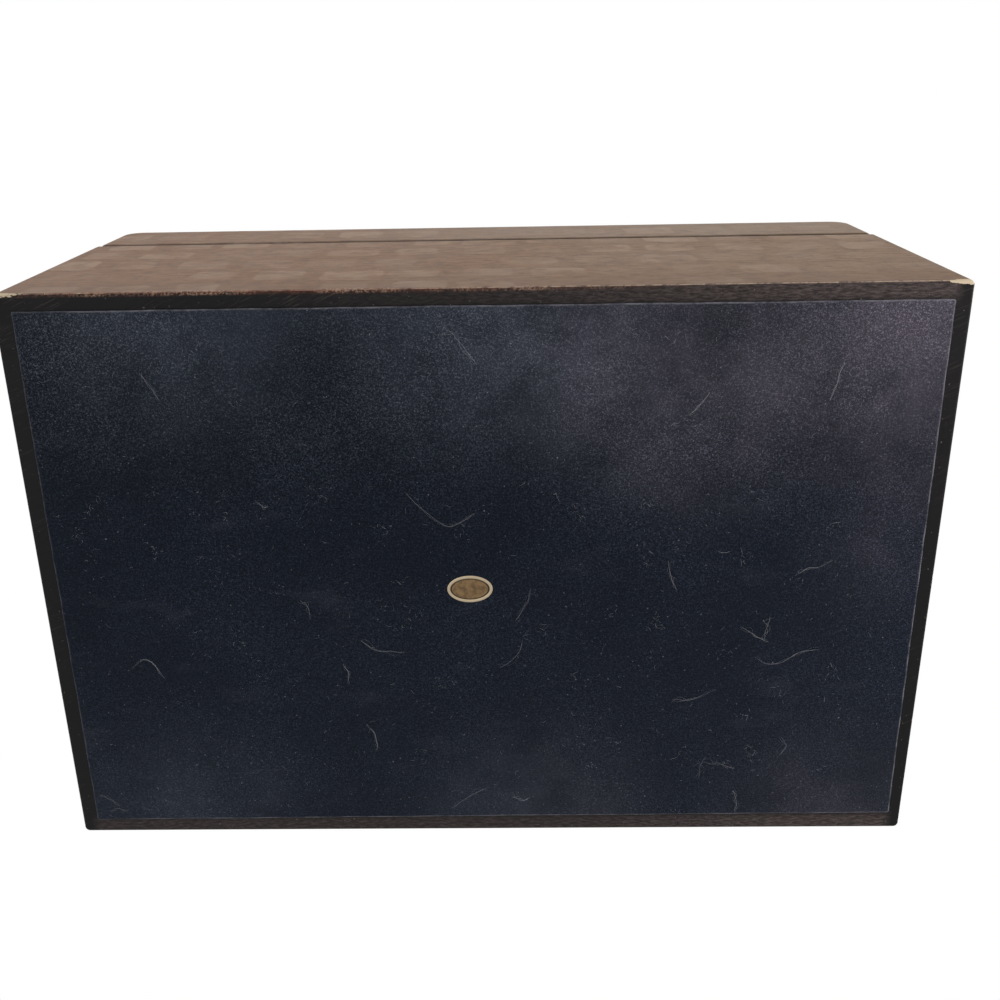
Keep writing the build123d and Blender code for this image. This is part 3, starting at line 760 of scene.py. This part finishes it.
STRANDS = ((0.25, 0.035, 0.065), (0.8, 0.018, 0.040), (1.7, 0.012, 0.028))  # ripple, thinnest, thickest


def smooth_curve(points):
    """A Catmull-Rom curve: each span blends its two ends with the slopes of their neighbours."""
    p = np.array(points, float)
    p = np.concatenate([2 * p[:1] - p[1:2], p, 2 * p[-1:] - p[-2:-1]])
    t = np.linspace(0, len(points) - 1 - 1e-6, HAIR_POINTS)
    k = t.astype(int)
    s = (t - k)[:, None]
    a, b, c, d = (p[k + n] for n in range(4))
    return 0.5 * (2 * b + (c - a) * s + (2 * a - 5 * b + 4 * c - d) * s**2 + (3 * b - a - 3 * c + d) * s**3)


def sideways(lines):
    """Unit vectors across flat curves: each curve's slope turned by a right angle."""
    along = np.gradient(lines, axis=1)
    side = np.stack([-along[..., 1], along[..., 0]], -1)
    return side / (np.linalg.norm(side, axis=-1, keepdims=True) + 1e-9)


def ruffled(lines, size):
    """Moves each line sideways by the mean of three seeded sines along it, size millimetres high."""
    waves = rng.uniform(0.6, 2.6, (len(lines), 3, 1))
    phase = rng.uniform(0, 2 * math.pi, (len(lines), 3, 1))
    t = np.linspace(0, 1, lines.shape[1])
    ripple = size * np.sin(2 * math.pi * waves * t + phase).mean(1)
    return lines + sideways(lines) * ripple[..., None]


def tubes(lines, radius):
    """Three-sided tubes with tapered ends along flat curves, as one array per curve."""
    taper = np.sin(np.linspace(0, math.pi, lines.shape[1])) ** 0.35
    turn = np.arange(3) * 2 * math.pi / 3
    thick = radius[:, None, None] * taper[None, :, None]
    flat = lines[:, :, None] + sideways(lines)[:, :, None] * (thick * np.cos(turn))[..., None]
    lift = FELT_FACE - HAIR_SUNK + thick * np.sin(turn)
    return np.concatenate([flat, lift[..., None]], -1)


def lint():
    """Grey in two tones, which a coarse noise picks."""
    f = Finish("lint", Sheen_Weight=0.2)
    tone = f.ramp(f.noise(60.0, 1.0), 0.35, 0.65)
    return f.use(Base_Color=f.blend(tone, (0.17, 0.18, 0.22), (0.42, 0.43, 0.46)), Roughness=0.8)


# %% Strewn hairs, and all of them as one piece
STREWN = 1500
STREWN_POINTS = 5
STREWN_HALF = (145, 94)  # half sizes of the field that they are strewn over
TUFTS = 70  # small tangles that half of the short hairs belong to
TUFT_HALF = (138, 88)
TUFT_SPREAD = 1.5


def strewn_hairs():
    """Short hairs: a start, a heading and a steady bend for each, added up point by point."""
    start = np.stack([rng.uniform(-half, half, STREWN) for half in STREWN_HALF], 1)
    tuft = rng.uniform([-half for half in TUFT_HALF], TUFT_HALF, (TUFTS, 2))
    in_tuft = np.arange(STREWN // 2)
    start[in_tuft] = tuft[in_tuft % TUFTS] + rng.normal(0, TUFT_SPREAD, (len(in_tuft), 2))
    heading = rng.uniform(0, 2 * math.pi, STREWN)
    bend = rng.normal(0, 0.5, STREWN)
    step = rng.gamma(1.6, 0.14, STREWN) + 0.05
    turn = heading[:, None] + bend[:, None] * np.arange(STREWN_POINTS)
    walk = np.cumsum(np.stack([np.cos(turn), np.sin(turn)], -1) * step[:, None, None], axis=1)
    return start[:, None] + walk


hairs = np.stack([smooth_curve(points) for points in HAIRS])
grids = []
for ripple, thin, thick in STRANDS:
    grids += list(tubes(ruffled(hairs, ripple), rng.uniform(thin, thick, len(hairs))))
grids += list(tubes(strewn_hairs(), rng.uniform(0.014, 0.042, STREWN)))
make_piece("felt_lint", grids, "case", lint(), sharp=180)

# %% [markdown]
# ## Velvet inside
# The compartments, drawers and lid are lined with velvet in the colour of the felt. Velvet is dark
# face on and pale at a slant, which is what sheen on the shader gives. Each lining is a skin with a
# rolled edge, each divider a board with soft edges, and each pad has a crown.

# %% Velvet and soft shapes
velvet = felt("navy_velvet", (0.008, 0.012, 0.030), (0.040, 0.052, 0.105), 0.0, 3200.0, 0.8)
LINING = 1.0  # thickness of the well's and the lid's linings
ROLL = 0.3  # height of a lining's rolled edge


def soft_block(low, high, corner, edge, crown=0.0):
    """A cushion-like block: sides rise, an arc turns them in, and the top swells by crown (1 - s^2)."""
    low, high = np.array(low, float), np.array(high, float)
    middle, half = footprint(low, high)
    corner = min(corner, half.min() * 0.99)
    edge = min(edge, half.min() * 0.9, (high[2] - low[2]) * 0.5)
    top = high[2] - crown
    turn = np.linspace(0, math.pi / 2, 5)
    rows = [(0, low[2], 0.0), (0, low[2], 1.0)]
    rows += [(edge * (math.cos(a) - 1), top - edge + edge * math.sin(a), 1.0) for a in turn]
    rows += [(-edge, top + crown * (1 - s**2), s) for s in np.linspace(0.93, 0.0, 9)]
    grid = inset_rings(half, corner, rows)
    grid[..., :2] += middle
    return grid


def skin_grid(node):
    """A lining round four walls: a thin closed loop with rolled edges, carried round the box."""
    low, high = span(node)
    middle, half = footprint(low, high)
    rows = [(0, low[2], 1), (0, high[2] - ROLL, 1), (-LINING / 2, high[2], 1),
            (-LINING, high[2] - ROLL, 1), (-LINING, low[2], 1)]
    grid = inset_rings(half, 1.5, rows, 4, 4)
    grid[..., :2] += middle
    return grid


for node, body in (("well_lining", "case"), ("lid_lining", "lid")):
    make_piece(f"{node}_velvet", [skin_grid(node)], body, velvet, [node], True)

# %% Dividers, roll bed and floor pad
SOFT_BOARDS = ["long_divider", "front_divider", "back_dividers", "roll_bed", "drawer_left_divider",
               "drawer_right_divider"]


def solids(node):
    """Low and high corners of each separate solid of a node, from its loose parts' extents."""
    work = bmesh.new()
    work.from_mesh(frame["nodes"][node].data)
    bmesh.ops.remove_doubles(work, verts=work.verts, dist=1e-6)
    left, found = set(work.verts), []
    while left:
        to_visit, island = [left.pop()], []
        while to_visit:
            vert = to_visit.pop()
            island.append(vert.co[:])
            near = [e.other_vert(vert) for e in vert.link_edges]
            new = [v for v in near if v in left]
            left.difference_update(new)
            to_visit += new
        island = np.array(island) / MM
        found.append((island.min(0), island.max(0)))
    work.free()
    return sorted(found, key=lambda pair: tuple(pair[0].round(2)))


for node in SOFT_BOARDS:
    body = frame["nodes"][node]["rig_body"]
    blocks = [soft_block(low, high, 1.2, 1.3) for low, high in solids(node)]
    make_piece(f"{node}_velvet", blocks, body, velvet, [node])

pad_block = soft_block(*span("well_floor_pad"), 1.5, 1.0, 0.4)
pad = make_piece("floor_pad_velvet", [pad_block], "case", velvet, ["well_floor_pad"])

# %% [markdown]
# ## Ring rolls
# Six foam bars wrapped in velvet lie side by side and grip rings between them. Each is a rounded
# outline carried along the bar, drawn in at both ends where the cloth is folded under, with small
# pleats there.

# %% Rolls
PLEATS, PLEAT_DEPTH = 9, 0.035
FLAT_BELOW = -0.93  # the outline's underside, in half heights


def roll_grid(low, high):
    """Outline (width cos a, height sin a) flattened below, shrunk near the ends, pleated by a sine."""
    middle, half = (low + high) / 2, (high - low) / 2
    turn = np.linspace(0, 2 * math.pi, 40, endpoint=False)
    shape_y = np.sign(np.cos(turn)) * np.abs(np.cos(turn)) ** 0.72
    shape_z = np.maximum(np.sign(np.sin(turn)) * np.abs(np.sin(turn)) ** 0.82, FLAT_BELOW)
    reach = np.linspace(-1, 1, 61)
    reach = np.sign(reach) * (1 - (1 - np.abs(reach)) ** 1.6)
    pull = np.clip(1 - np.abs(reach) ** 34, 0, 1) ** 0.5
    end = np.exp(-(1 - np.abs(reach)) * 16)[:, None]
    pleat = 1 - PLEAT_DEPTH * end * (1 + np.sin(turn * PLEATS)[None])
    size = pull[:, None] * pleat
    y = middle[1] + half[1] * size * shape_y
    z = middle[2] + half[2] * (size * (shape_z + 1) - 1)
    z = np.maximum(z, low[2])
    x = np.broadcast_to(middle[0] + half[0] * reach[:, None], y.shape)
    return np.stack([x, y, z], -1)


rolls = [roll_grid(low, high) for low, high in solids("ring_rolls")]
ring_rolls = make_piece("ring_rolls_velvet", rolls, "case", velvet, ["ring_rolls"])

# %% [markdown]
# ## Drawer linings and the lid's pad
# A drawer lining is an open tray: one profile runs up the outside, over the rim, down the inside
# and round a small curve to the floor. The lid's pad is a soft frame with the mirror in its window.

# %% Trays
TRAY_SKIN = 0.8
TRAY_BEND = 2.0  # radius between the tray's sides and its floor


def tray_grid(node):
    """Rows up the outside, over a rolled rim, down the inside and round a quarter arc to the floor."""
    low, high = span(node)
    middle, half = footprint(low, high)
    arc = np.linspace(0, math.pi / 2, 5)
    floor = low[2] + TRAY_SKIN
    rows = [(0, low[2], 0.0), (0, low[2], 1.0), (0, high[2] - ROLL, 1), (-TRAY_SKIN / 2, high[2], 1),
            (-TRAY_SKIN, high[2] - ROLL, 1)]
    rows += [(-TRAY_SKIN - TRAY_BEND * (1 - math.cos(a)), floor + TRAY_BEND * (1 - math.sin(a)), 1)
             for a in arc]
    rows += [(-TRAY_SKIN - TRAY_BEND, floor, s) for s in (0.6, 0.0)]
    grid = inset_rings(half, 2.0, rows, 5, 6)
    grid[..., :2] += middle
    return grid


for side in SIDES:
    node = f"drawer_{side}_lining"
    make_piece(f"{node}_velvet", [tray_grid(node)], f"drawer_{side}", velvet, [node])

# %% Lid pad
PAD_GAP = 0.3  # between the pad and the glass
PAD_ARCH = 0.9
lid_pad_low, lid_pad_high = span("lid_pad")
glass_low, glass_high = span("lid_mirror")
FRAME_HALF = footprint(lid_pad_low, lid_pad_high)[1]
GLASS_HALF = footprint(glass_low, glass_high)[1]
BORDER = (FRAME_HALF - GLASS_HALF).min() - PAD_GAP


def frame_pad():
    """A closed loop: flat against the lid, and below it an arch over the border's width."""
    s = np.linspace(0, 1, 15)
    arch = lid_pad_low[2] + PAD_ARCH * (1 - np.sin(math.pi * s) ** 0.55)
    rows = [(0, lid_pad_high[2], 1)] + [(-BORDER * a, z, 1) for a, z in zip(s, arch)]
    rows += [(-BORDER, lid_pad_high[2], 1)]
    return inset_rings(FRAME_HALF, 0.8, rows, 4, 10)


lid_pad = make_piece("lid_pad_velvet", [frame_pad()], "lid", velvet, ["lid_pad"], True)

# %% [markdown]
# ## Mirror, bezel and bumpers
# The glass has a wide ground bevel, the brass bezel round it is a small rounded moulding, and two
# felt dots on the front rim keep the lid off the lacquer.

# %% Mirror
BEVEL = (8.0, 0.9)  # width and depth of the ground bevel
FACE_INSET = 0.1  # the glass's face lies this far above the mirror's lowest point


def silvered():
    """A cloudy noise dulls and tints the silver a little."""
    f = Finish("silvered_glass", Metallic=1.0)
    haze = f.noise(45.0, 4.0)
    return f.use(Base_Color=f.blend(haze, (0.86, 0.89, 0.88), (0.92, 0.94, 0.93)),
                 Roughness=f.ramp(haze, 0.3, 0.8, 0.015, 0.05))


def mirror_grid():
    """Back, edge, the bevel, then the flat glass."""
    high, face = glass_high[2], glass_low[2] + FACE_INSET
    rows = [(0, high, 0.0), (0, high, 1.0), (0, face + BEVEL[1], 1.0), (-BEVEL[0], face, 1.0),
            (-BEVEL[0], face, 0.0)]
    return inset_rings(GLASS_HALF, 0.6, rows, 3, 2)


make_piece("bevelled_mirror", [mirror_grid()], "lid", silvered(), ["lid_mirror"], sharp=2)

# %% Bezel
BEZEL_WIDTH = 6.0
BEZEL_LIP = 0.25  # the moulding's edges stand this far off the pad
BEZEL_SWELL = 0.9405  # and its highest place this much further


def bezel_grid():
    """A closed loop: a half round over the moulding's width with a fine bead at its inner edge."""
    low, high = span("mirror_bezel")
    s = np.linspace(0, 1, 17)
    half_round = np.sin(math.pi * np.clip(s * 1.25, 0, 1)) ** 0.6 * 0.85
    swell = half_round + 0.6 * np.exp(-((s - 0.9) / 0.07) ** 2)
    below = high[2] - BEZEL_LIP - BEZEL_SWELL * swell / swell.max()
    rows = [(0, high[2], 1)] + [(-BEZEL_WIDTH * a, z, 1) for a, z in zip(s, below)]
    rows += [(-BEZEL_WIDTH, high[2], 1)]
    return inset_rings(footprint(low, high)[1], 3.0, rows, 8, 4)


make_piece("bezel_moulding", [bezel_grid()], "lid", aged_brass, ["mirror_bezel"], True, sharp=60)

# %% Bumpers
BUMPER_RADIUS = 2.5


def bumper_grid(low, high):
    """A short round block with a soft upper edge."""
    rows = [(0, low[2], 0.0), (0, low[2], 1.0), (0, high[2] - 0.2, 1.0), (-0.2, high[2] - 0.05, 1.0),
            (-0.6, high[2], 1.0), (-0.6, high[2], 0.0)]
    grid = rings(oval_path(BUMPER_RADIUS, BUMPER_RADIUS, 32), rows)
    grid[..., :2] += footprint(low, high)[0]
    return grid


dots = [bumper_grid(low, high) for low, high in solids("lid_bumpers")]
make_piece("bumper_dots", dots, "case", felt_navy, ["lid_bumpers"])

# %% [markdown]
# ## Pull plates
# Each ring hangs against a thin round plate, pressed with a beaded rim and a low boss round the eye.
# It is a profile turned about the eye's axis.

# %% Plates
DRAWN_DEPTH = 1.2  # the depth that the profile below is drawn at


def plate_grid(node):
    """Rows of circles from the back's middle to the eye's hole: rim, bead, dish and boss."""
    low, high = span(node)
    middle, radius = (low + high) / 2, (high - low)[0] / 2
    depth = (high - low)[1]
    profile = [(1.3, 0.0), (radius, 0.0), (radius, 0.35), (radius - 0.25, 0.75), (radius - 0.7, 0.95),
               (radius - 1.15, 0.75), (radius - 1.4, 0.45), (radius - 2.4, 0.42), (4.4, 0.5), (3.9, 0.8),
               (3.4, 1.1), (2.8, 1.19), (1.5, 1.15), (1.3, 1.0)]
    turn = np.linspace(0, 2 * math.pi, 72, endpoint=False)
    out = np.array([row[0] for row in profile])[:, None]
    proud = np.array([row[1] for row in profile])[:, None] * depth / DRAWN_DEPTH
    x = middle[0] + out * np.cos(turn)
    z = middle[2] + out * np.sin(turn)
    return np.stack([x, np.broadcast_to(high[1] - proud, x.shape), z], -1)


for side in SIDES:
    node = f"pull_{side}_plate"
    make_piece(f"{node}_pressed", [plate_grid(node)], f"drawer_{side}", aged_brass, [node], True)

# %% [markdown]
# ## Floor, light and camera
# The picture looks at the underside of the box from below, against pure white. So the floor is pale
# and shows the box's shadow to a camera above it, and every other ray passes through it. The world
# is plain white to the camera and to reflections, and dimmer where it only lights. Large soft lamps
# stand round the box, and one small low lamp grazes the felt from the corner that is palest.

# %% Floor
FLOOR_HALF = 6.0
FLOOR_DROP = 0.2  # millimetres that the floor lies below the felt
FLOOR_FADE = (0.35, 1.7)  # metres from the box at which the floor starts and ends fading to white


def pale_floor():
    """Shown where the camera ray minus the back face is one, and glowing white far from the box."""
    f = Finish("pale_floor", Base_Color=(0.86, 0.86, 0.855, 1), Roughness=0.9)
    camera_ray = f.add("ShaderNodeLightPath", "Is Camera Ray")
    from_above = f.math("SUBTRACT", camera_ray, f.add("ShaderNodeNewGeometry", "Backfacing"), clamp=True)
    far = f.ramp(f.vector("LENGTH", f.place, output=1), *FLOOR_FADE)
    glow = f.add("ShaderNodeEmission")
    clear = f.add("ShaderNodeBsdfTransparent")
    faded = f.add("ShaderNodeMixShader", i0=far, i1=f.shader.outputs[0], i2=glow)
    shown = f.add("ShaderNodeMixShader", i0=from_above, i1=clear, i2=faded)
    f.feed(f.tree.nodes["Material Output"].inputs["Surface"], shown)
    return f.material


floor_mesh = bpy.data.meshes.new("floor")
corner = np.array([(-1, -1, 0), (1, -1, 0), (1, 1, 0), (-1, 1, 0)], float) * FLOOR_HALF
corner[:, 2] = -FLOOR_DROP * MM
floor_mesh.from_pydata(corner, [], [(0, 1, 2, 3)])
floor_mesh.materials.append(pale_floor())
floor = bpy.data.objects.new("floor", floor_mesh)
bpy.context.scene.collection.objects.link(floor)
print("floor", 2 * FLOOR_HALF, "metres wide")

# %% World and lamps
WORLD_LIGHT = 0.40
LAMPS = {  # place in metres, size, power and tint
    "key": ((-0.9, -1.1, 1.3), 1.0, 17.0, (1, 1, 1)),
    "fill": ((1.2, -0.8, 0.9), 1.0, 8.0, (1, 1, 1)),
    "back": ((0.4, 1.4, 0.8), 1.2, 9.0, (1, 1, 1)),
    "under": ((0.5, 0.2, -1.0), 1.0, 2.5, (1, 1, 1)),
    "corner": ((-0.38, 0.09, -0.15), 0.2, 0.7, (1.0, 0.94, 0.97)),
}

world = bpy.data.worlds.new("studio")
bpy.context.scene.world = world
world.use_nodes = True
sky = Network(world.node_tree)
background = sky.tree.nodes["Background"]
background.inputs["Color"].default_value = (1, 1, 1, 1)
level = WORLD_LIGHT
for ray in ("Is Camera Ray", "Is Glossy Ray", "Is Transmission Ray"):
    level = sky.math("MAXIMUM", sky.add("ShaderNodeLightPath", ray), level)
sky.feed(background.inputs["Strength"], level)


def lamp(name, place, size, power, tint):
    """A square soft lamp at place that looks at the box's middle."""
    data = bpy.data.lights.new(name, "AREA")
    data.size = size
    data.energy = power
    data.color = tint
    made = bpy.data.objects.new(name, data)
    bpy.context.scene.collection.objects.link(made)
    aim = (cad_low + cad_high) / 2 - Vector(place)
    made.location = place
    made.rotation_mode = "QUATERNION"
    made.rotation_quaternion = aim.to_track_quat("-Z", "Y")


for name, (place, size, power, tint) in LAMPS.items():
    lamp(name, place, size, power, tint)
print(len(LAMPS), "lamps")

# %% Camera
FOCAL_PIXELS = 1126.7
CENTRE_PIXELS = (-17.85, 10.69)  # the photograph's optical centre, left of and below its middle
FRAME_PIXELS = 1000
SENSOR = 36.0
CAMERA_AT = Vector((-7.51, 165.86, -347.9)) * MM
FORWARD = Vector((0.020386, -0.369363, 0.929062))
UP = Vector((-0.01098, 0.929116, 0.369626))

camera_data = bpy.data.cameras.new("camera")
camera_data.sensor_width = SENSOR
camera_data.lens = FOCAL_PIXELS / FRAME_PIXELS * SENSOR
camera_data.shift_x = -CENTRE_PIXELS[0] / FRAME_PIXELS
camera_data.shift_y = CENTRE_PIXELS[1] / FRAME_PIXELS
camera_data.clip_start = 0.01
camera = bpy.data.objects.new("camera", camera_data)
bpy.context.scene.collection.objects.link(camera)
right = FORWARD.cross(UP).normalized()
camera.matrix_world = Matrix.Translation(CAMERA_AT) @ Matrix((right, UP, -FORWARD)).transposed().to_4x4()
bpy.context.scene.camera = camera
bpy.context.scene.view_settings.view_transform = "Standard"
print("lens", round(camera_data.lens, 2), "mm")
